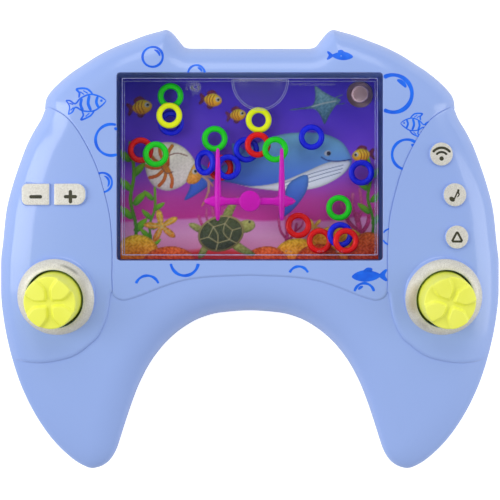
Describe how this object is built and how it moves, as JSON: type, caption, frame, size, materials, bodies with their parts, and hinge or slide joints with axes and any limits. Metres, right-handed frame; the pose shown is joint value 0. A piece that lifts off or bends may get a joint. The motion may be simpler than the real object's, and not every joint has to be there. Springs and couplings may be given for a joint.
{
  "type": "handheld water game",
  "caption": "Gamepad shaped handheld game: a clear water tank with loose rings and needles to catch them on, and sprung pump knobs that push the water.",
  "frame": {"origin": "under the middle of the outline, on the surface that it lies on", "axes": "+Z towards the player out of the face, +Y up the face, +X to the player's right"},
  "size_m": [0.165, 0.1454, 0.0322],
  "materials": {
    "housing_plastic": "satin moulded plastic, periwinkle blue",
    "clear_plastic": "clear polished plastic",
    "picture_card": "printed glossy card",
    "peg_plastic": "glossy magenta plastic",
    "soft_plastic": "soft milky plastic",
    "ring_green": "glossy plastic",
    "ring_yellow": "glossy plastic",
    "ring_blue": "glossy plastic",
    "ring_red": "glossy plastic",
    "knob_plastic": "satin soft-touch plastic, lemon yellow",
    "screw_steel": "zinc plated steel"
  },
  "bodies": {
    "root": {"rear_shell": "housing_plastic", "front_shell": "housing_plastic", "centre_bezel": "housing_plastic", "tank_front": "clear_plastic", "tank_back": "clear_plastic", "picture_card": "picture_card", "peg_frame": "peg_plastic", "ring_01": "ring_green", "ring_02": "ring_yellow", "ring_03": "ring_blue", "ring_04": "ring_red", "ring_05": "ring_green", "ring_06": "ring_blue", "ring_07": "ring_red", "ring_08": "ring_green", "ring_09": "ring_yellow", "ring_10": "ring_green", "ring_11": "ring_red", "ring_12": "ring_blue", "ring_13": "ring_blue", "ring_14": "ring_blue", "ring_15": "ring_blue", "ring_16": "ring_red", "ring_17": "ring_red", "ring_18": "ring_green", "ring_19": "ring_blue", "ring_20": "ring_red", "left_pump_bulb": "soft_plastic", "left_hose": "soft_plastic", "screw_top_left": "screw_steel", "screw_side_left": "screw_steel", "screw_grip_left": "screw_steel", "right_pump_bulb": "soft_plastic", "right_hose": "soft_plastic", "screw_top_right": "screw_steel", "screw_side_right": "screw_steel", "screw_grip_right": "screw_steel"},
    "left_knob": {"left_knob": "knob_plastic"},
    "right_knob": {"right_knob": "knob_plastic"},
    "filler_plug": {"filler_plug": "soft_plastic"}
  },
  "joints": [
    {"name": "left_knob_press", "type": "slide", "parent": "root", "child": "left_knob", "axis": [0.1367, 0.166, -0.9766], "range_m": [0, 0.004], "stiffness_N_per_m": 900, "deforming": ["left_pump_bulb"]},
    {"name": "right_knob_press", "type": "slide", "parent": "root", "child": "right_knob", "axis": [-0.1367, 0.166, -0.9766], "range_m": [0, 0.004], "stiffness_N_per_m": 900, "deforming": ["right_pump_bulb"]},
    {"name": "filler_plug_pull", "type": "slide", "parent": "root", "child": "filler_plug", "axis": [0, 0, -1], "range_m": [0, 0.014]}
  ]
}
